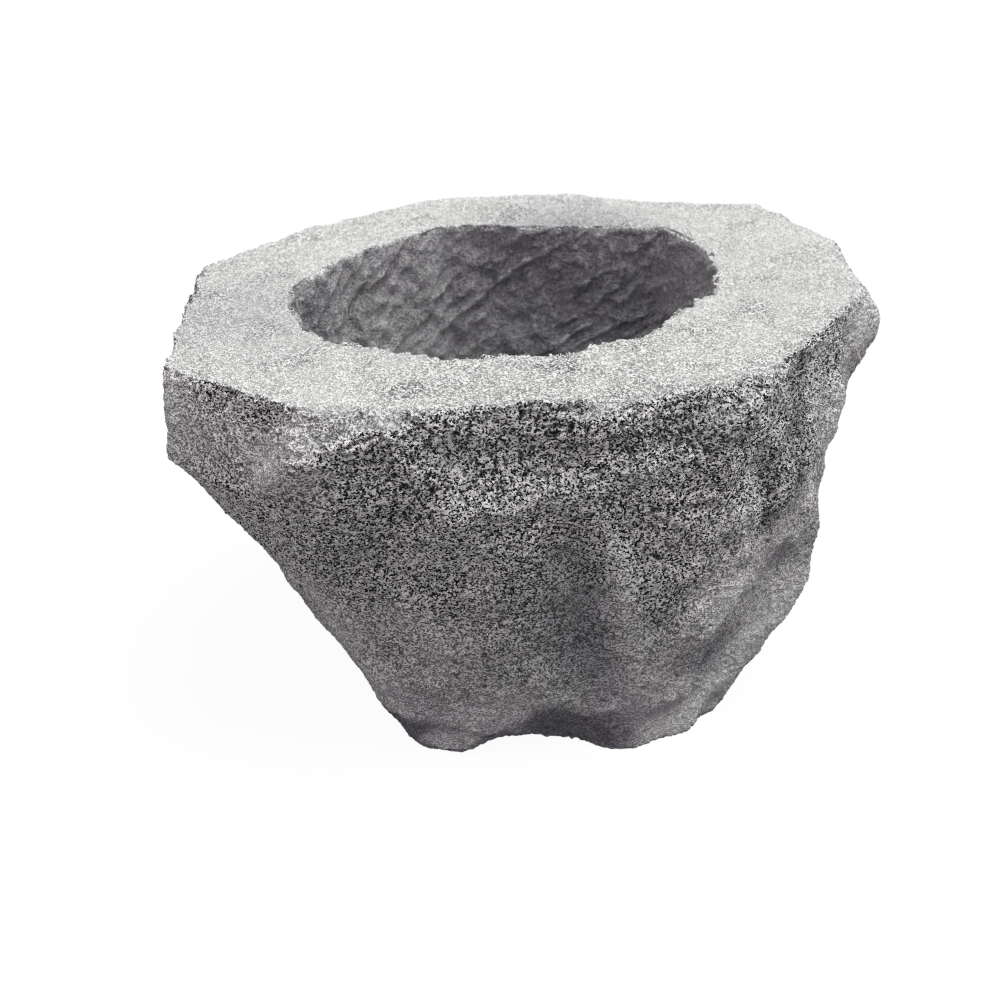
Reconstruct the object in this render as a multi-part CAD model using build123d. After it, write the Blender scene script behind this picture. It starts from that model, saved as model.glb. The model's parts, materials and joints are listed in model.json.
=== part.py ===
from build123d import *
import math
import os

# Small molcajete: a mortar hewn from one block of basalt, and the tejolote that grinds in it.
# Millimetres, +Z up. The origin is on the ground, at the middle of the mortar's bounding box.
# The lengths below are first given about the axis of the bowl; the last step moves them.

# ---- driving dimensions ------------------------------------------------------------------------

HEIGHT = 56.0  # ground to the flat rim
BOWL_DEPTH = 36.0

# The hewn outside, as arrises that run down the block. Seen from above they go anticlockwise
# round it, from the knob at its front left corner. Each has its place on the rim (x, y),
# at the shoulder (x, y, z), at the waist (x, y, z) and at the foot (x, y).
ARRISES = {
    "left knob": ((-46, -35), (-45.3, -37, 44.4), (-31.7, -33, 25.7), (-17.5, -30.5)),
    "front left edge": ((-28.5, -47.2), (-35.4, -45, 42), (-24.5, -43.5, 25), (-12, -41.5)),
    "prow": ((-22, -48.3), (-28.3, -53, 48.6), (-14.2, -46.5, 27.5), (-6, -42.5)),
    "chamfer end": ((-15.7, -49), (-18.3, -52, 53.2), (-2, -48, 36), (2, -42.5)),
    "front chip": ((2, -47), (4, -48, 50.5), (7, -46.5, 38), (9, -42)),
    "front ridge": ((14.4, -43), (17.5, -46.5, 51.5), (12.5, -45, 30), (15.5, -41.3)),
    "front right panel": ((25, -40), (30, -42.5, 50), (23, -43.3, 34), (19, -40.5)),
    "front right ridge": ((37.6, -32.7), (36.9, -35.5, 48), (30.4, -38.5, 29), (24, -37.6)),
    "right hollow": ((45.2, -21.7), (46, -22, 42), (43.8, -25, 19.5), (32.5, -27)),
    "right knob": ((52, -5), (56, 0, 49.7), (48.5, -5, 28), (37, -15)),
    "right back edge": ((54, 20), (55, 21, 46), (47, 15, 22), (37.5, 3)),
    "back right corner": ((43.5, 42.5), (45, 43, 44), (36, 35, 21), (28, 20)),
    "back right panel": ((28, 43.5), (25, 48.5, 45), (20, 42, 26), (15, 28)),
    "back": ((8, 48.7), (4, 49.7, 46), (4, 41, 19), (1, 31)),
    "back left panel": ((-14, 45), (-17, 46, 44), (-14, 39.5, 24), (-13, 27)),
    "back left corner": ((-32, 29.5), (-35, 31, 47), (-30, 27, 22), (-24, 16)),
    "left back edge": ((-48, 8.5), (-47, 9, 42), (-40, 4, 23), (-29, 0)),
    "left panel": ((-47, -8), (-48, -16, 45), (-38, -16, 25), (-23, -17)),
}
# Between each of these arrises and the next one the facets meet in a valley.
# Everywhere else they meet in a ridge.
VALLEYS = ("right hollow",)

# The mouth of the bowl, an uneven octagon struck by hand. Seen from above its corners go
# clockwise, from the left.
BOWL_MOUTH = (
    (-32, -2), (-26, 12), (-10, 29), (8, 29), (26, 28), (32, 16),
    (31, -3), (20, -20), (8, -29), (-10, -30.5), (-24, -25), (-31, -14),
)
# How the bowl narrows: part of its depth, and size of the section against the mouth.
BOWL_SECTIONS = ((0.33, 0.96), (0.62, 0.88), (0.86, 0.76), (1.0, 0.57))
CUT_OVERRUN = 3.0  # how far the cut for the bowl carries on above the rim

ARCH_WIDTH = 20.0  # gap between two feet, at the ground
ARCH_HEIGHT = 3.6
ARCH_LENGTH = 100.0  # from the middle, past the outside of the block
ARCH_AZIMUTHS = (-85, 25, 155)  # degrees, the three gaps between the three feet
BELLY_RADIUS = 15.0  # hollow in the middle of the underside
BELLY_HEIGHT = 3.0

PESTLE_LENGTH = 41.0
PESTLE_END_RADIUS = 10.5  # the working end
PESTLE_GRIP_RADIUS = 7.5
PESTLE_END_ROUNDING = 8.0
PESTLE_GRIP_ROUNDING = 6.0
PESTLE_GAP = 0.5  # between the tejolote and the floor of the bowl
PESTLE_PLACE = (-0.5, -0.5)  # where its middle lies in the bowl
PESTLE_TURN = 12.0  # degrees about the upright axis


# ---- mortar ------------------------------------------------------------------------------------


def hewn_block():
    """The block before the bowl and feet are cut: flat facets between neighbouring arrises."""
    lines = []
    for rim, shoulder, waist, foot in ARRISES.values():
        lines.append([Vector(*rim, HEIGHT), Vector(*shoulder), Vector(*waist), Vector(*foot, 0)])
    faces = []
    for name, line, neighbour in zip(ARRISES, lines, lines[1:] + lines[:1]):
        for level in range(len(line) - 1):
            patch = (line[level], neighbour[level], neighbour[level + 1], line[level + 1])
            faces += hewn_facets(*patch, valley=name in VALLEYS)
    top = [line[0] for line in lines]
    bottom = [line[-1] for line in lines]
    faces += [Face(Wire.make_polygon(top)), Face(Wire.make_polygon(bottom))]
    return Solid(Shell(faces))


def hewn_facets(a, b, c, d, valley):
    """Two flat triangles over the patch a, b, c, d, which meet in a ridge or in a valley."""
    ridge_joins_a = axis_distance((a + c) / 2) > axis_distance((b + d) / 2)
    if ridge_joins_a != valley:
        corners = ((a, b, c), (a, c, d))
    else:
        corners = ((a, b, d), (b, c, d))
    return [Face(Wire.make_polygon(triangle)) for triangle in corners]


def axis_distance(point):
    return math.hypot(point.X, point.Y)


def bowl():
    """The hollow: sections of the mouth's own shape that shrink down to a small flat floor."""
    sections = [(-CUT_OVERRUN / BOWL_DEPTH, 1.0), (0.0, 1.0), *BOWL_SECTIONS]
    wires = []
    for part_of_depth, size in sections:
        z = HEIGHT - part_of_depth * BOWL_DEPTH
        wires.append(Wire.make_polygon([(x * size, y * size, z) for x, y in BOWL_MOUTH]))
    return Solid.make_loft(wires, ruled=True)


def foot_gaps():
    """Three shallow arches and a shallow belly, which leave three stubby feet."""
    half = ARCH_WIDTH / 2
    radius = (half**2 + ARCH_HEIGHT**2) / (2 * ARCH_HEIGHT)
    gaps = []
    for azimuth in ARCH_AZIMUTHS:
        arch = Cylinder(radius, ARCH_LENGTH, align=(Align.CENTER, Align.CENTER, Align.MIN))
        arch = Rot(0, 90, 0) * arch
        gaps.append(Rot(0, 0, azimuth) * Pos(0, 0, ARCH_HEIGHT - radius) * arch)
    belly_radius = (BELLY_RADIUS**2 + BELLY_HEIGHT**2) / (2 * BELLY_HEIGHT)
    belly = Pos(0, 0, BELLY_HEIGHT - belly_radius) * Sphere(belly_radius)
    return gaps + [belly]


def mortar():
    stone = hewn_block() - bowl()
    for gap in foot_gaps():
        stone -= gap
    return stone


# ---- tejolote ----------------------------------------------------------------------------------


def tejolote():
    """The pestle, lying on the bowl's floor: a blunt working end that tapers to a rounded grip."""
    half = PESTLE_LENGTH / 2
    working_corner = (-half, PESTLE_END_RADIUS)
    grip_corner = (half, PESTLE_GRIP_RADIUS)
    outline = make_face(Polyline((-half, 0), working_corner, grip_corner, (half, 0), close=True))
    for corner, rounding in ((working_corner, PESTLE_END_ROUNDING), (grip_corner, PESTLE_GRIP_ROUNDING)):
        outline = fillet(outline.vertices().sort_by_distance(corner)[0], rounding)
    pestle = revolve(outline, axis=Axis.X)
    lean = math.degrees(math.atan2(PESTLE_END_RADIUS - PESTLE_GRIP_RADIUS, PESTLE_LENGTH))
    pestle = Rot(0, 0, PESTLE_TURN) * Rot(0, lean, 0) * pestle
    floor = HEIGHT - BOWL_DEPTH + PESTLE_GAP
    return Pos(*PESTLE_PLACE, floor - pestle.bounding_box().min.Z) * pestle


# ---- the two pieces in their shared frame ------------------------------------------------------

stone = mortar()
box = stone.bounding_box()
to_origin = Pos(-box.center().X, -box.center().Y, 0)

os.makedirs("parts", exist_ok=True)
export_step(to_origin * stone, "parts/mortar.step")
export_step(to_origin * tejolote(), "parts/tejolote.step")
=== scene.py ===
"""A small molcajete of grey basalt with its tejolote, on a pale studio floor."""

import itertools
import json
import math

import bmesh
import bpy
import numpy as np
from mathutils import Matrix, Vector


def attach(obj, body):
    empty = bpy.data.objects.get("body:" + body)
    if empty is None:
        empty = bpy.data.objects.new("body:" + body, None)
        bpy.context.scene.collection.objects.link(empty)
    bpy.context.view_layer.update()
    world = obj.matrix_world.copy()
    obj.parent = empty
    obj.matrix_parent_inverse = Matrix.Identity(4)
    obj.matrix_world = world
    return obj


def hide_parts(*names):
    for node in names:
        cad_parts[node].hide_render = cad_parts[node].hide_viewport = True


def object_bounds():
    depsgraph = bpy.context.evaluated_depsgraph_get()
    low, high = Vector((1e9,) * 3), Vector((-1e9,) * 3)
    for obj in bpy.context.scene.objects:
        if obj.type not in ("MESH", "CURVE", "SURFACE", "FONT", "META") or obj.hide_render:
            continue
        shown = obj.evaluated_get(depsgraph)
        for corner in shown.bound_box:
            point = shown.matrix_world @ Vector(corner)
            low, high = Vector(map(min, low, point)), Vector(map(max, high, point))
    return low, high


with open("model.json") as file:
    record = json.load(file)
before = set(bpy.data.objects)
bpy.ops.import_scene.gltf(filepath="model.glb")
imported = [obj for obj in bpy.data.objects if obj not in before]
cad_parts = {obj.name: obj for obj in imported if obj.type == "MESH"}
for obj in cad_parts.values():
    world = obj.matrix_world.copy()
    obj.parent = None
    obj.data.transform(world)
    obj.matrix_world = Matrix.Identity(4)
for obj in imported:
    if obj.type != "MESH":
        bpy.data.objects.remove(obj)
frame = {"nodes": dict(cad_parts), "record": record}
cad_low, cad_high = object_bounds()

# ---- sizes, in metres --------------------------------------------------------------------------

MM = 0.001
HEIGHT = cad_high.z  # ground to rim
mouth_low, mouth_high = frame["record"]["physics"]["openings"][0]["box_m"]
BOWL_AXIS = (np.array(mouth_low) + np.array(mouth_high))[:2] / 2

FORM_MESH = 0.5 * MM  # edge length while the large forms are worked
TEJOLOTE_MESH = 0.4 * MM
SOFTENING_PASSES = 2  # how far the hewn arrises are worn
FACING_PASSES = 6  # how far round each point the surface's direction is evened out
KEPT_WIDTH = 0.992  # leaves room inside the CAD box for the hand-hewn edges to waver
RIM_DROP = 0.24  # millimetres that the rim is worn below the CAD's top
FINE_LEVELS = 1  # each level halves the edge length for the grain

rng = np.random.default_rng(1519)
LATTICE = rng.permutation(256)
SLOPES = rng.normal(size=(256, 3))
SLOPES /= np.linalg.norm(SLOPES, axis=1)[:, None]
SCATTER = rng.random((256, 3))


# ---- noise -------------------------------------------------------------------------------------


def lattice_key(cell, seed):
    """A fixed number from 0 to 255 for each lattice cell."""
    x, y, z = (cell & 255).T
    return LATTICE[(LATTICE[(LATTICE[(x + seed) & 255] + y) & 255] + z) & 255]


def noise(points, size, seed):
    """Smooth noise, about -1 to 1, whose lumps are `size` across. Each seed is another pattern."""
    grid = points / size
    cell = np.floor(grid).astype(np.int64)
    t = grid - cell
    fade = t * t * t * (t * (t * 6 - 15) + 10)
    total = np.zeros(len(points))
    for corner in itertools.product((0, 1), repeat=3):
        corner = np.array(corner)
        slope = SLOPES[lattice_key(cell + corner, seed)]
        weight = np.prod(np.where(corner == 1, fade, 1 - fade), axis=1)
        total += weight * np.einsum("ij,ij->i", slope, t - corner)
    return total * 1.5  # unscaled, it seldom passes two thirds


def rough_noise(points, size, seed, octaves=3):
    """Noise with ever finer lumps on top of the first ones."""
    total = np.zeros(len(points))
    for octave in range(octaves):
        total += noise(points, size / 2**octave, seed + octave) / 2**octave
    return total


def noise_shift(points, size, seeds):
    """A noise vector for each point."""
    return np.stack([noise(points, size, seed) for seed in seeds], axis=1)


def scattered(points, size, seed):
    """Distance, in cells, to the nearest of points scattered `size` apart."""
    grid = points / size
    cell = np.floor(grid).astype(np.int64)
    nearest = np.full(len(points), np.inf)
    for offset in itertools.product((-1, 0, 1), repeat=3):
        neighbour = cell + np.array(offset)
        place = neighbour + SCATTER[lattice_key(neighbour, seed)]
        nearest = np.minimum(nearest, np.linalg.norm(grid - place, axis=1))
    return nearest


def ramp(values, start, end):
    """0 before start, 1 after end, and a smooth rise between them."""
    t = np.clip((values - start) / (end - start), 0, 1)
    return t * t * (3 - 2 * t)


def bell(distance, reach):
    """1 at no distance, about 0.14 at the reach, and soon 0 beyond it."""
    return np.exp(-2 * (distance / reach) ** 2)


# ---- mesh handling -----------------------------------------------------------------------------


def new_object(name, mesh):
    obj = bpy.data.objects.new(name, mesh)
    bpy.context.scene.collection.objects.link(obj)
    return obj


def bake_modifiers(obj):
    """The object's modifiers become its mesh."""
    bpy.context.view_layer.update()
    graph = bpy.context.evaluated_depsgraph_get()
    old = obj.data
    obj.data = bpy.data.meshes.new_from_object(obj.evaluated_get(graph))
    obj.modifiers.clear()
    bpy.data.meshes.remove(old)


def stone_blank(node, name, edge_length):
    """An evenly meshed copy of a CAD node, ready to be worked."""
    blank = new_object(name, frame["nodes"][node].data.copy())
    blank.data.materials.clear()
    welded = bmesh.new()
    welded.from_mesh(blank.data)
    bmesh.ops.remove_doubles(welded, verts=welded.verts, dist=0.001 * MM)
    welded.to_mesh(blank.data)
    welded.free()
    even = blank.modifiers.new("even", "REMESH")
    even.mode = "VOXEL"
    even.voxel_size = edge_length
    bake_modifiers(blank)
    return blank


def refine(obj, levels):
    """Halves the edge length once for each level."""
    finer = obj.modifiers.new("finer", "SUBSURF")
    finer.levels = levels
    finer.render_levels = levels
    bake_modifiers(obj)


def points_of(obj):
    flat = np.zeros(len(obj.data.vertices) * 3)
    obj.data.vertices.foreach_get("co", flat)
    return flat.reshape(-1, 3)


def normals_of(obj):
    flat = np.zeros(len(obj.data.vertices) * 3, np.float32)
    obj.data.vertex_normals.foreach_get("vector", flat)
    return flat.reshape(-1, 3).astype(float)


def move_points(obj, points):
    obj.data.vertices.foreach_set("co", points.astype(np.float32).ravel())
    obj.data.update()


def neighbour_mean(obj, values):
    """For each vertex, the mean of a value over the vertices it shares an edge with."""
    count = len(obj.data.vertices)
    ends = np.zeros(len(obj.data.edges) * 2, np.int32)
    obj.data.edges.foreach_get("vertices", ends)
    a, b = ends.reshape(-1, 2).T
    degree = np.bincount(a, minlength=count) + np.bincount(b, minlength=count)
    columns = []
    for column in values.T:
        total = np.bincount(a, column[b], count) + np.bincount(b, column[a], count)
        columns.append(total / degree)
    return np.stack(columns, axis=1)


def soften(obj, passes):
    points = points_of(obj)
    for _ in range(passes):
        points = (points + neighbour_mean(obj, points)) / 2
    move_points(obj, points)


def standing_out(obj, points, normals, passes, height):
    """How far each point stands out of the surface round it, -1 to 1 for `height`."""
    around = points
    for _ in range(passes):
        around = neighbour_mean(obj, around)
    return np.clip(np.einsum("ij,ij->i", points - around, normals) / height, -1, 1)


def keep_value(obj, name, values):
    """Stores one number a vertex, for a later step or the material to read."""
    attribute = obj.data.attributes.new(name, "FLOAT", "POINT")
    attribute.data.foreach_set("value", values.astype(np.float32))


def kept_value(obj, name):
    values = np.zeros(len(obj.data.vertices), np.float32)
    obj.data.attributes[name].data.foreach_get("value", values)
    return values.astype(float)


def finish_piece(obj, node, material):
    obj.data.materials.clear()
    obj.data.materials.append(material)
    obj.data.shade_smooth()
    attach(obj, node)
    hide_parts(node)


# ---- the mortar's named features, in millimetres -----------------------------------------------

KNOCKS = {  # where the stone is chipped or hollowed: place, reach and depth
    "chip at the front of the rim": ((4.5, -45, 56), 3.2, 1.6),
    "chip left of it": ((-18, -48, 55), 2.5, 0.8),
    "hollow right of the front ridge": ((31, -34, 40), 5.0, 1.1),
    "pocket beside it": ((26, -37.5, 32), 2.2, 0.9),
    "hollow under the right corner": ((36, -29, 44), 5.5, 0.9),
    "dent on the right side": ((35.5, -28, 24), 4.0, 0.9),
    "dip in the right edge": ((42.5, -18, 32), 6.0, 1.4),
    "dents beside the right arris": ((32, -32, 32.5), 3.0, 1.1),
    "small dent below them": ((28.7, -34.5, 27), 2.4, 0.9),
    "hollow low on the right": ((24, -35, 12.5), 5.0, 1.0),
    "dip in the middle of the front": ((2, -44, 22), 12.0, 0.9),
    "dip left on the front": ((-20, -46, 38), 8.0, 0.7),
    "dip in the right knob": ((50, -8, 47), 5.0, 0.8),
    "pocket under the right end of the front": ((38, -26, 52.5), 3.6, 1.7),
}
RIDGES = {  # long ridges, and hollows where the height is below 0: both ends, half width, height
    "left part of the ridge across the front": ((-18, -47, 34), (-8, -47, 41), 4.5, 1.0),
    "right part of it": ((-8, -47, 41), (19, -43, 46.5), 3.6, 1.0),
    "top of the right arris": ((29.5, -36, 52), (28.4, -35, 28), 2.8, 1.0),
    "foot of the right arris": ((28.4, -35, 28), (21, -36.5, 7), 3.2, 0.9),
    "arris down the middle": ((9.5, -44, 38), (13, -41, 15), 3.6, 1.0),
    "hollow left of it": ((4, -44, 34), (9, -41.5, 13), 6.0, -1.2),
    "hollow right of the right arris": ((34, -29, 52), (37, -27.5, 32), 3.8, -1.2),
    "crack on the right": ((15, -43, 40.5), (23, -40.5, 38.5), 1.4, -0.9),
    "hollow below the rim": ((-13, -48, 50.5), (3, -46, 49.5), 5.0, -0.9),
    "shoulder, front right": ((12, -45.5, 50.5), (32, -35, 49.5), 5.0, -1.1),
    "edge of the rim, front right": ((11, -42, 55), (34, -31.5, 55), 3.5, 0.6),
    "point of the right knob": ((51, -1, 51), (52, 3, 49), 9.0, 1.6),
    "swelling above the right foot": ((37.5, -24, 16), (22, -33.5, 0), 9.0, 1.5),
    "bump in the right edge": ((44, -16, 44), (43, -18, 41), 5.0, 1.6),
    "edge of the left knob": ((-49.5, -34, 54), (-49.3, -35.3, 44.5), 4.0, 0.9),
}
TUCKS = {  # where the lips of the arches turn under: place, reach and shift
    "front arch": ((4, -41, 3), 7.0, (0, 3.6, -2.4)),
    "right arch": ((32, 16, 3), 8.0, (-1.8, -0.8, -0.6)),
    "left arch": ((-34, 15, 3), 8.0, (1.8, -0.8, -0.6)),
}
PATCHES = {  # place and reach; how much more open the pores are, and how much painted shade darkens the stone there, with painted light where it is below 0
    "left knob": ((-46, -34, 47), 14.0, -0.55, 0.0),
    "front left chamfer": ((-30, -47.5, 51.5), 10.0, -0.45, 0.0),
    "foot of the chamfer": ((-35.5, -46.5, 46), 7.0, -0.5, 0.0),
    "under the prow": ((-28, -49.5, 43.5), 9.0, 0.1, 0.3),
    "below the rim": ((-6, -47.5, 50), 7.0, 0.1, 0.15),
    "shoulder, front right": ((20, -42.5, 52), 9.0, 0.3, 0.3),
    "left panel": ((-33, -38, 20), 14.0, -0.2, -0.35),
    "lip of the front arch": ((0, -40, 3.5), 4.5, 0.0, 1.0),
    "inner half of the right foot": ((9.5, -40, 2), 6.5, 0.0, 1.2),
    "right arris": ((28.4, -35, 28), 8.0, -0.2, -0.3),
    "middle of the right arris": ((23.5, -37, 22), 7.0, -0.25, -0.35),
    "beside the right arris": ((34, -29, 27), 9.0, -0.5, 0.14),
    "dents beside the right arris": ((31.5, -32.5, 32.5), 3.6, 0.3, 0.35),
    "small dent below them": ((28.7, -34.5, 27), 2.6, 0.3, 0.45),
    "pocket under the right end of the front": ((37.5, -27, 51.5), 4.5, 0.3, 0.5),
    "low on the right": ((32, -30, 12), 20.0, -0.3, 0.1),
    "hollow low on the right": ((24, -35, 12.5), 6.0, 0.0, 0.3),
    "right side": ((46, -12, 36), 20.0, -0.55, 0.25),
    "right knob": ((50, -4, 51), 9.0, -0.4, 0.02),
    "near side of the rim": ((-2, -40, 56), 26.0, 0.6, 0.0),
    "left side of the rim": ((-42, -12, 56), 26.0, 0.0, 0.25),
    "right side of the rim": ((40, 0, 56), 22.0, 0.0, 0.06),
    "far wall of the bowl": ((6, 28, 49), 19.0, 0.0, 0.75),
}


def distance_from(place, points):
    return np.linalg.norm(points / MM - place, axis=1)


def knocks_and_ridges(points):
    """Height that the named knocks, ridges and hollows add to the surface."""
    knocked = np.zeros(len(points))
    for place, reach, depth in KNOCKS.values():
        knocked += depth * bell(distance_from(place, points), reach)
    raised, sunk = np.zeros(len(points)), np.zeros(len(points))
    wandering = points / MM + 1.6 * noise_shift(points, 5 * MM, (7, 8, 9))
    for start, end, half_width, height in RIDGES.values():
        start, along = np.array(start), np.subtract(end, start)
        share = np.clip((wandering - start) @ along / (along @ along), 0, 1)
        distance = np.linalg.norm(wandering - start - share[:, None] * along, axis=1)
        profile = height * np.clip(1 - distance / half_width, 0, 1)
        raised = np.maximum(raised, profile)
        sunk = np.minimum(sunk, profile)
    return MM * (raised + sunk - knocked)


def tucked_under(points):
    shift = np.zeros_like(points)
    for place, reach, step in TUCKS.values():
        shift += bell(distance_from(place, points), reach)[:, None] * np.array(step) * MM
    return shift


def patches(points):
    """How much more open the pores are in the named patches, and how much painted shade they add, with
    painted light where the number is negative.
    """
    opened, patch_shading = np.zeros(len(points)), np.zeros(len(points))
    for place, reach, more_open, darker in PATCHES.values():
        near = bell(distance_from(place, points), reach)
        opened += more_open * near
        patch_shading += darker * near
    return opened, patch_shading


# ---- the mortar's large forms: reliefs in millimetres ------------------------------------------


def from_axis(points):
    """Distance from the bowl's axis, and direction round it."""
    x, y = points[:, 0] - BOWL_AXIS[0], points[:, 1] - BOWL_AXIS[1]
    return np.hypot(x, y), np.arctan2(y, x)


def mortar_zones(points, normals):
    """How far each point belongs to the rim, the bowl and the hewn outside, 0 to 1."""
    radius, _ = from_axis(points)
    below_rim = HEIGHT - points[:, 2]
    bowl_reach = 40 * MM - below_rim * 0.1  # about the middle of the stone's wall
    inside = ramp(bowl_reach - radius, -0.5 * MM, 0.5 * MM) * ramp(points[:, 2], 14 * MM, 17 * MM)
    rim = ramp(below_rim, 1.6 * MM, 0.4 * MM) * ramp(normals[:, 2], 0.5, 0.85)
    bowl = inside * (1 - rim)
    return rim, bowl, (1 - rim) * (1 - inside)


def hewn_relief(points, normals):
    """Broad swells, the facets that the blows have left, and rough stone between them."""
    overhung = ramp(-normals[:, 2], 0.2, 0.4)  # the undersides are smoother
    wandering = points + 2.5 * MM * noise_shift(points, 9 * MM, (3, 4, 5))
    facets = scattered(wandering * (1, 1, 0.8), 8 * MM, 11)  # taller than they are wide
    broad = 0.5 * noise(points, 20 * MM, 1) + 0.6 * (facets**2 - 0.45) * (1 - 0.6 * overhung)
    rough = (0.4 * rough_noise(points, 5 * MM, 6) - 0.15) * (1 - 0.5 * overhung)
    fuller = 0.4 * ramp(points[:, 2], 46 * MM, 38 * MM)  # below the shoulder
    return broad + rough + fuller


def crumbled(points):
    """How far an edge is broken away, 0 to 1."""
    broken = ramp(noise(points, 3 * MM, 14) + 0.5 * noise(points, 1.4 * MM, 15), -0.1, 0.6)
    return broken * ramp(points[:, 2], 2 * MM, 9 * MM)  # the feet are worn round instead


def chisel_strokes(points):
    """Ragged grooves that climb round the bowl's wall like a coarse screw thread, about -2 to 2."""
    radius, azimuth = from_axis(points)
    climb = 20 * MM  # a stroke rises this much a radian
    turned = azimuth + points[:, 2] / climb
    long_way = 0.28  # the noise is stretched along the strokes by its inverse
    wall = np.stack([radius * np.cos(turned), radius * np.sin(turned), points[:, 2] * long_way], axis=1)
    wall += 0.8 * MM * noise(points, 5 * MM, 21)[:, None]
    crests = 1 - 3.2 * np.abs(noise(wall, 4.2 * MM, 25))
    return 0.35 * crests + 0.6 * noise(wall, 2.4 * MM, 26) + 0.85 * rough_noise(points, 2.6 * MM, 27)


def carved_relief(points):
    """The strokes are deeper on the upper wall than near the floor of the bowl."""
    upper = ramp(points[:, 2], 22 * MM, 30 * MM)
    return (0.2 + 0.5 * upper) * chisel_strokes(points) + 0.3 * noise(points, 8 * MM, 23)


def rim_relief(points):
    return 0.12 * rough_noise(points, 7 * MM, 24) - RIM_DROP


def wavering(points):
    """Shifts that turn the straight edges of the block into hand-hewn ones."""
    shift = np.zeros_like(points)
    for axis, seed in ((0, 3), (1, 4)):
        shift[:, axis] = 0.9 * noise(points, 13 * MM, seed) + 0.55 * noise(points, 5.5 * MM, seed + 70)
    return shift * MM


def work_large_forms(obj):
    """Hewn facets outside, chisel strokes inside, and a nearly flat rim with a broken edge."""
    points = points_of(obj)
    normals = normals_of(obj)
    rim, bowl, outside = mortar_zones(points, normals)
    arris = ramp(standing_out(obj, points, normals, passes=6, height=0.3 * MM), 0.15, 0.8)
    relief = outside * hewn_relief(points, normals) + bowl * carved_relief(points)
    relief += rim * rim_relief(points) - arris * (0.15 + 0.9 * crumbled(points))
    relief = MM * relief + outside * knocks_and_ridges(points)
    points = points * (KEPT_WIDTH, KEPT_WIDTH, 1) + wavering(points)
    move_points(obj, points + normals * relief[:, None] + tucked_under(points))


def note_facing(obj, passes):
    """Keeps how far the surface faces up, -1 to 1, evened out over its neighbourhood."""
    facing = normals_of(obj)
    for _ in range(passes):
        facing = neighbour_mean(obj, facing)
    keep_value(obj, "facing_up", facing[:, 2])


# ---- the mortar's grain: values from 0 to about 1, reliefs in millimetres ----------------------


def pore_openness(points, dust, opened, rim, bowl):
    """How open the pores are: most of all high on the outside, and least under the dust."""
    lower = np.clip((40 * MM - points[:, 2]) / (36 * MM), 0, 1)
    openness = (1 - 0.75 * lower) * (1 - 0.77 * dust) * (1 + opened)
    openness = 0.3 * bowl + (1 - bowl) * openness
    openness *= 1 + 0.5 * noise(points, 9 * MM, 30)
    return openness + 0.2 * rim * ramp(noise(points, 7 * MM, 37), 0.1, 0.5)


def painted_shading(points, facing_up, ridge, bowl):
    """Painted shade: strongest in the bowl, more on the lower part, on undersides near the ground and
    in the knocks and hollows, and painted light on the ridges.
    """
    dim = np.clip((38 * MM - points[:, 2]) / (18 * MM), 0, 1)
    under = ramp(-facing_up, 0.2, 0.55) * ramp(points[:, 2], 10 * MM, 5 * MM)
    return 0.7 * bowl + (0.38 * dim - 0.4 * ridge) * (1 - bowl) + under


def crumb_relief(points, facing_up, dust, bowl):
    """Small crumbs, taller on slopes and on the rim."""
    sloping = ramp(facing_up, 0.05, 0.35) * ramp(facing_up, 0.98, 0.8) * (1 - bowl)
    crumbs = np.abs(noise(points, 1.2 * MM, 31)) + 0.7 * np.abs(noise(points, 0.7 * MM, 32)) - 0.4
    crumbs = np.minimum(crumbs, 0.5 - 0.42 * dust)  # worn flat on top
    crumbs *= 0.25 + 0.35 * dust + 0.35 * sloping
    return crumbs * ramp(points[:, 1], 55 * MM, -25 * MM)  # the far side is smoother


def work_grain(obj):
    """The stone's own grain: crumbs, pits and vesicles, and values for the material to read, among them
    the painted shade and light.
    """
    points = points_of(obj)
    normals = normals_of(obj)
    rim, bowl, outside = mortar_zones(points, normals)
    facing_up = kept_value(obj, "facing_up")
    arris = standing_out(obj, points, normals, passes=4, height=0.1 * MM)
    opened, patch_shading = patches(points)
    ridge = outside * np.clip(knocks_and_ridges(points) / MM, -1, 1)
    # the ridges' share of dust closes their pores, which adds to their painted light
    dust = np.maximum(ramp(facing_up, 0.35, 0.85), 0.6 * ridge) * (1 - bowl)
    openness = pore_openness(points, dust, opened, rim, bowl)
    pits = ramp(-noise(points, 0.65 * MM, 41) - 0.6 * noise(points, 0.4 * MM, 42), 0.12, 0.45)
    vesicles = ramp(-rough_noise(points, 1.3 * MM, 45, octaves=2), 0.55, 0.7)
    vesicles *= (1 - 0.8 * dust) * (1 - bowl) * (0.4 + 0.6 * openness)
    relief = crumb_relief(points, facing_up, dust, bowl) - 0.22 * openness * pits - 0.45 * vesicles
    moved = points + normals * relief[:, None] * MM
    move_points(obj, np.clip(moved, cad_low, cad_high))
    # where painted shade blackens the pits and vesicles
    keep_value(obj, "pit", np.maximum(0.7 * pits * openness, vesicles))
    keep_value(obj, "openness", openness)
    keep_value(obj, "arris", arris)
    keep_value(obj, "dust", dust)
    # painted shade, lessened by painted light, which the material mixes in as a darker, bluer colour
    keep_value(obj, "painted_shade", np.clip(painted_shading(points, facing_up, ridge, bowl) + patch_shading, 0, 1))


def make_mortar(material):
    stone = stone_blank("mortar", "mortar_stone", FORM_MESH)
    soften(stone, SOFTENING_PASSES)
    work_large_forms(stone)
    note_facing(stone, FACING_PASSES)
    refine(stone, FINE_LEVELS)
    work_grain(stone)
    finish_piece(stone, "mortar", material)


# ---- the tejolote ------------------------------------------------------------------------------


def work_tejolote_form(obj):
    """A slightly lumpy body, worn down inside the CAD's surface."""
    points = points_of(obj)
    relief = MM * (0.3 * rough_noise(points, 6 * MM, 51) - 0.35)
    move_points(obj, points + normals_of(obj) * relief[:, None])


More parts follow.
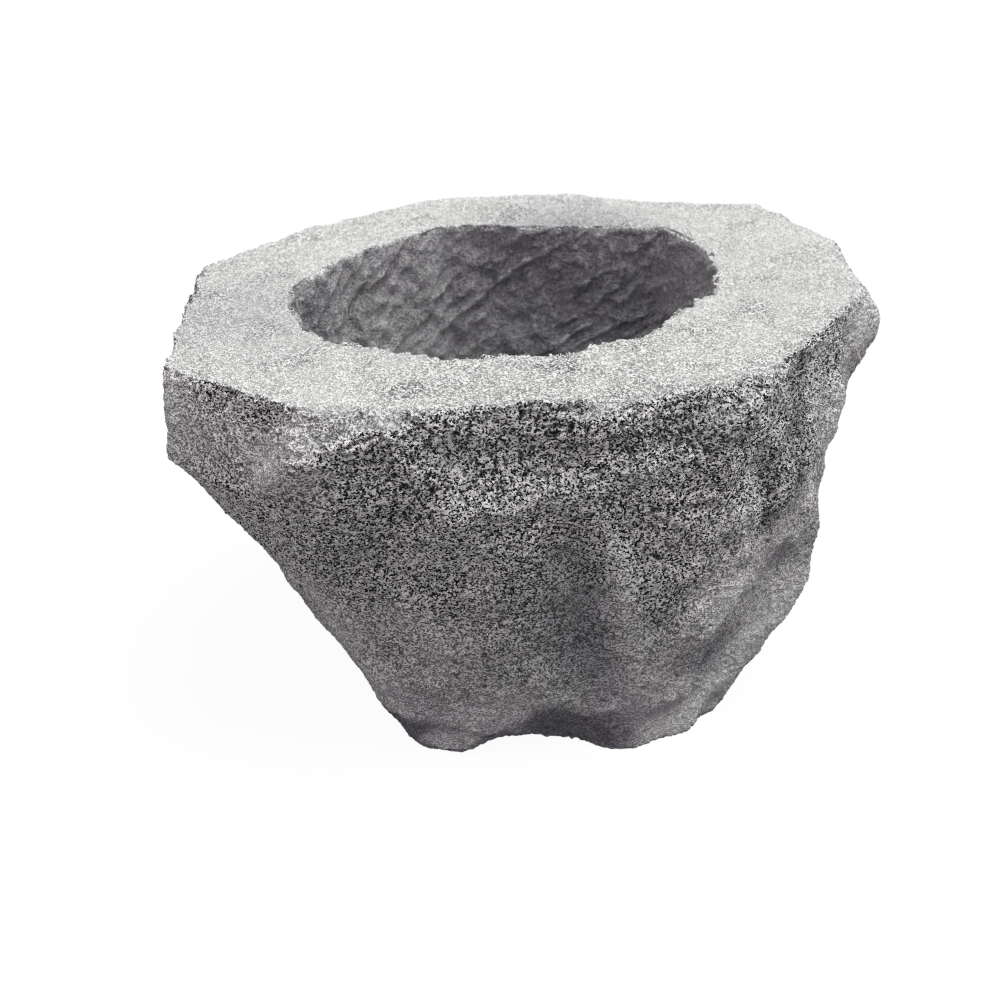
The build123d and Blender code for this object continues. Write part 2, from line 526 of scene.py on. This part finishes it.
def work_tejolote_grain(obj):
    """Lumps, pits and vesicles, and no dust, arrises or painted shade for the material to read."""
    points = points_of(obj)
    openness = 0.75 + 0.35 * noise(points, 7 * MM, 60)
    lumps = 0.1 * rough_noise(points, 2.2 * MM, 55)
    pits = ramp(-noise(points, 0.95 * MM, 61) - 0.6 * noise(points, 0.5 * MM, 62), 0.1, 0.5)
    vesicles = ramp(-rough_noise(points, 1.7 * MM, 65, octaves=2), 0.62, 0.85)
    relief = MM * openness * (lumps - 0.18 * pits - 0.4 * vesicles)
    move_points(obj, points + normals_of(obj) * relief[:, None])
    # where painted shade blackens the pits and vesicles
    keep_value(obj, "pit", np.maximum(0.7 * pits, vesicles) * openness)
    keep_value(obj, "openness", openness)
    for absent in ("arris", "dust", "painted_shade"):
        keep_value(obj, absent, np.zeros(len(points)))


def make_tejolote(material):
    stone = stone_blank("tejolote", "tejolote_stone", TEJOLOTE_MESH)
    work_tejolote_form(stone)
    refine(stone, FINE_LEVELS)
    work_tejolote_grain(stone)
    finish_piece(stone, "tejolote", material)


# ---- materials ---------------------------------------------------------------------------------

MORTAR_LEVEL = 0.78  # how bright the stone is; its shades are given as shares of this level
TEJOLOTE_LEVEL = 0.5
PALE_GROUND = 1.11
DULL_GROUND = (0.98, 0.943, 0.964)
DUSTED = (0.84, 0.855, 0.835)
# painted shade: darker and a little bluer, like the shadows
PAINTED_SHADE_TINT = (0.17, 0.162, 0.205)
WORN_EDGE, CREASE_SHADE, STAIN = 1.3, 0.5, 0.55
CRYSTAL, SHADED_CRYSTAL = 1.4, 0.55
# painted shade in the fine pores and in the pits cut into the mesh
FINE_PORE_SHADE, PIT_SHADE_GREY = 0.01, 0.05
SQUASH = (1.0, 1.0, 1.3)  # the pores are wider than they are high
GRAIN, CLUMP, GRIT = 0.33 * MM, 0.9 * MM, 0.13 * MM  # lumps of the noises behind pores and specks
CLOUD, BLOTCH = 12 * MM, 3 * MM  # and of those behind the ground's shade and its stains
GRAIN_SHARE = 0.75  # of the pores' pattern; the rest is clumps
PORE_EDGE = (0.467, 0.452)  # the pattern is stone above the first and open pore below the second
BUMP_HEIGHT = 0.7 * MM


class Nodes:
    """Short calls for building a material's node tree."""

    def __init__(self, tree):
        self.tree = tree
        self.tree.nodes.clear()

    def add(self, kind, **settings):
        node = self.tree.nodes.new(kind)
        for name, value in settings.items():
            setattr(node, name, value)
        return node

    def feed(self, node, name, value):
        socket = node.inputs[name]
        if isinstance(value, bpy.types.NodeSocket):
            self.tree.links.new(value, socket)
        else:
            socket.default_value = value

    def noise(self, where, size, detail, roughness):
        node = self.add("ShaderNodeTexNoise")
        self.feed(node, "Vector", where)
        self.feed(node, "Scale", 1 / size)
        self.feed(node, "Detail", detail)
        self.feed(node, "Roughness", roughness)
        return node.outputs["Fac"]

    def ramp(self, value, low, high, start=0.0, end=1.0):
        """`value` from low to high becomes start to end, and stays there outside."""
        node = self.add("ShaderNodeMapRange")
        self.feed(node, "Value", value)
        self.feed(node, "From Min", low)
        self.feed(node, "From Max", high)
        self.feed(node, "To Min", start)
        self.feed(node, "To Max", end)
        return node.outputs["Result"]

    def maths(self, operation, a, b):
        node = self.add("ShaderNodeMath", operation=operation)
        self.feed(node, 0, a)
        self.feed(node, 1, b)
        return node.outputs[0]

    def mix(self, amount, a, b):
        """Colour a where the amount is 0, and colour b where it is 1."""
        node = self.add("ShaderNodeMix", data_type="RGBA")  # its colours are inputs 6 and 7, output 2
        self.feed(node, 0, amount)
        self.feed(node, 6, a)
        self.feed(node, 7, b)
        return node.outputs[2]

    def value(self, name):
        """The number that the mesh keeps for each vertex under this name."""
        return self.add("ShaderNodeAttribute", attribute_name=name).outputs["Fac"]


def new_material(name):
    material = bpy.data.materials.new(name)
    material.use_nodes = True
    return material, Nodes(material.node_tree)


def grey(level, warmth=0.0):
    """A grey as bright as the level, and a little redder than blue where it is warm."""
    return (level * (1 + warmth), level, level * (1 - warmth), 1.0)


def tint(level, colour):
    """A colour whose channels are given as shares of the level."""
    return (*(level * channel for channel in colour), 1.0)


def squashed_position(nodes):
    squashed = nodes.add("ShaderNodeMapping")
    nodes.feed(squashed, "Vector", nodes.add("ShaderNodeTexCoord").outputs["Object"])
    nodes.feed(squashed, "Scale", SQUASH)
    return squashed.outputs["Vector"]


def pore_pattern(nodes, where):
    grains = nodes.noise(where, GRAIN, detail=1, roughness=0.5)
    grains = nodes.maths("MULTIPLY", grains, GRAIN_SHARE)
    clumps = nodes.noise(where, CLUMP, detail=2, roughness=0.6)
    clumps = nodes.maths("MULTIPLY", clumps, 1 - GRAIN_SHARE)
    return nodes.maths("ADD", grains, clumps)


def stone_ground(nodes, where, level):
    """The stone's colour before its crystals and pores: cloudy, dusty, with painted shade and painted
    light, worn, with painted shade in its creases, and stained.
    """
    pale = nodes.ramp(nodes.noise(where, CLOUD, detail=4, roughness=0.55), 0.35, 0.65)
    colour = nodes.mix(pale, tint(level, DULL_GROUND), grey(level * PALE_GROUND, warmth=0.012))
    colour = nodes.mix(nodes.value("dust"), colour, tint(level, DUSTED))
    # painted shade and painted light, from the mesh's values
    colour = nodes.mix(nodes.value("painted_shade"), colour, tint(level, PAINTED_SHADE_TINT))
    worn = nodes.ramp(nodes.value("arris"), 0.1, 0.9, 0.0, 0.35)
    colour = nodes.mix(worn, colour, grey(level * WORN_EDGE, warmth=0.01))
    # painted shade where the grain sinks below the surface round it
    sunk = nodes.ramp(nodes.value("arris"), -0.1, -0.9, 0.0, 0.5)
    colour = nodes.mix(sunk, colour, grey(level * CREASE_SHADE))
    blotches = nodes.noise(where, BLOTCH, detail=3, roughness=0.6)
    stained = nodes.ramp(blotches, 0.35, 0.62, 0.3, 0.0)
    return nodes.mix(stained, colour, grey(level * STAIN, warmth=0.02))


def with_crystals(nodes, colour, grit, openness, level):
    """Bright specks, thicker where the pores are open, and dulled where the painted shade lies."""
    speckled = nodes.ramp(openness, 0.0, 0.8, 0.1, 1.0)
    amount = nodes.maths("MULTIPLY", nodes.ramp(grit, 0.4, 0.56, 0.0, 0.75), speckled)
    crystal = nodes.mix(nodes.value("painted_shade"), grey(level * CRYSTAL), grey(level * SHADED_CRYSTAL))
    return nodes.mix(amount, colour, crystal)


def with_pores(nodes, colour, pattern, openness, level):
    """Painted shade in the pores, nearly black: in the pattern's fine ones, and in the pits that are
    cut into the mesh.
    """
    fine = nodes.maths("MULTIPLY", nodes.ramp(pattern, *PORE_EDGE), nodes.ramp(openness, 0.0, 0.8))
    colour = nodes.mix(fine, colour, grey(level * FINE_PORE_SHADE))
    pit_shade = nodes.maths("MULTIPLY", nodes.value("pit"), 0.8)
    return nodes.mix(pit_shade, colour, grey(level * PIT_SHADE_GREY))


def stone_bump(nodes, pattern, grit, openness):
    """The pores sink and the grit stands up, both more where the pores are open."""
    height = nodes.ramp(pattern, 0.405, 0.515)
    height = nodes.maths("MULTIPLY", height, nodes.ramp(openness, 0.0, 1.0, 0.2, 1.0))
    fine = nodes.maths("MULTIPLY", grit, nodes.ramp(openness, 0.0, 0.8, 0.2, 0.5))
    bump = nodes.add("ShaderNodeBump")
    nodes.feed(bump, "Strength", 1.0)
    nodes.feed(bump, "Distance", BUMP_HEIGHT)
    nodes.feed(bump, "Height", nodes.maths("ADD", height, fine))
    return bump.outputs["Normal"]


def basalt(name, level):
    """Grey vesicular basalt: a pale gritty ground broken all over by small open pores, painted nearly
    black as their shade.
    """
    material, nodes = new_material(name)
    where = squashed_position(nodes)
    pattern = pore_pattern(nodes, where)
    grit = nodes.noise(where, GRIT, detail=1, roughness=0.6)
    openness = nodes.value("openness")
    colour = stone_ground(nodes, where, level)
    colour = with_crystals(nodes, colour, grit, openness, level)
    colour = with_pores(nodes, colour, pattern, openness, level)
    shader = nodes.add("ShaderNodeBsdfPrincipled")
    nodes.feed(shader, "Base Color", colour)
    nodes.feed(shader, "Roughness", nodes.ramp(pattern, 0.35, 0.65, 0.98, 0.8))
    nodes.feed(shader, "Specular IOR Level", 0.25)
    nodes.feed(shader, "Normal", stone_bump(nodes, pattern, grit, openness))
    output = nodes.add("ShaderNodeOutputMaterial")
    nodes.feed(output, "Surface", shader.outputs["BSDF"])
    return material


def seen_or_not(nodes, seen, unseen):
    """One shader for what the camera sees, and another for the light that reaches the stone."""
    choice = nodes.add("ShaderNodeMixShader")
    nodes.feed(choice, 0, nodes.add("ShaderNodeLightPath").outputs["Is Camera Ray"])
    nodes.feed(choice, 1, unseen.outputs[0])
    nodes.feed(choice, 2, seen.outputs[0])
    return choice.outputs[0]


def pale_floor():
    """Nearly white to the camera, with a faint shadow, and grey as a reflector, so that the
    stone's underside stays dark."""
    material, nodes = new_material("pale_floor")
    seen = nodes.add("ShaderNodeBsdfDiffuse")
    nodes.feed(seen, "Color", grey(0.05))
    glow = nodes.add("ShaderNodeEmission")
    nodes.feed(glow, "Color", grey(0.95))
    bright = nodes.add("ShaderNodeAddShader")
    nodes.feed(bright, 0, seen.outputs[0])
    nodes.feed(bright, 1, glow.outputs[0])
    reflector = nodes.add("ShaderNodeBsdfDiffuse")
    nodes.feed(reflector, "Color", grey(0.15))
    output = nodes.add("ShaderNodeOutputMaterial")
    nodes.feed(output, "Surface", seen_or_not(nodes, bright, reflector))
    return material


# ---- studio ------------------------------------------------------------------------------------

FLOOR_RADIUS = 6.0
SKY_COLOUR = (1.0, 0.955, 1.0, 1.0)
SKY_STRENGTH = 0.55
LAMPS = {  # the way each soft lamp lies, its energy, its width in degrees and its colour
    "softbox": ((0.4, 0.06, 1.0), 3.3, 50, (1.0, 1.01, 0.98)),
    "front_fill": ((-0.8, -1.0, 0.25), 0.99, 90, (1.0, 0.945, 0.99)),
    "side_fill": ((1.0, -0.5, 0.3), 0.35, 60, (1.0, 0.96, 1.0)),
}
CAMERA_PLACE = (-1.0 * MM, -256.6 * MM, 87.8 * MM)  # from the middle of the mouth, at the rim's height
CAMERA_PITCH = 25.8  # degrees below the horizon
FOCAL_LENGTH = 64.8  # millimetres, on Blender's standard sensor
FOCUS_DISTANCE = 238 * MM  # to the middle of the front face
F_STOP = 50
FILTER_WIDTH = 1.2  # pixels


def make_floor():
    mesh = bpy.data.meshes.new("floor")
    shape = bmesh.new()
    bmesh.ops.create_circle(shape, cap_ends=True, segments=96, radius=FLOOR_RADIUS)
    shape.to_mesh(mesh)
    shape.free()
    mesh.materials.append(pale_floor())
    floor = new_object("floor", mesh)


def make_sky():
    """Soft light from all round, and a white ground behind everything for the camera."""
    sky = bpy.data.worlds.new("sky")
    sky.use_nodes = True
    nodes = Nodes(sky.node_tree)
    fill = nodes.add("ShaderNodeBackground")
    nodes.feed(fill, "Color", SKY_COLOUR)
    nodes.feed(fill, "Strength", SKY_STRENGTH)
    shown = nodes.add("ShaderNodeBackground")
    nodes.feed(shown, "Color", grey(1.0))
    output = nodes.add("ShaderNodeOutputWorld")
    nodes.feed(output, "Surface", seen_or_not(nodes, shown, fill))
    bpy.context.scene.world = sky


def make_lamps():
    for name, (towards, energy, width, colour) in LAMPS.items():
        light = bpy.data.lights.new(name, "SUN")
        light.energy = energy
        light.angle = math.radians(width)
        light.color = colour
        lamp = new_object(name, light)
        lamp.rotation_euler = Vector(towards).to_track_quat("Z", "Y").to_euler()


def make_camera():
    """A close, slightly long lens that looks down over the front face into the bowl."""
    lens = bpy.data.cameras.new("camera")
    lens.lens = FOCAL_LENGTH
    lens.dof.use_dof = True
    lens.dof.focus_distance = FOCUS_DISTANCE
    lens.dof.aperture_fstop = F_STOP
    camera = new_object("camera", lens)
    camera.location = np.array((*BOWL_AXIS, HEIGHT)) + CAMERA_PLACE
    camera.rotation_euler = (math.radians(90 - CAMERA_PITCH), 0, 0)
    bpy.context.scene.camera = camera


def set_picture():
    """Plain colours, and a sharp filter and light denoising that keep the finest grain."""
    scene = bpy.context.scene
    scene.view_settings.view_transform = "Standard"
    scene.cycles.denoising_prefilter = "NONE"
    scene.cycles.filter_width = FILTER_WIDTH


# ---- the scene ---------------------------------------------------------------------------------

make_mortar(basalt("mortar_basalt", MORTAR_LEVEL))
make_tejolote(basalt("tejolote_basalt", TEJOLOTE_LEVEL))
make_floor()
make_sky()
make_lamps()
make_camera()
set_picture()
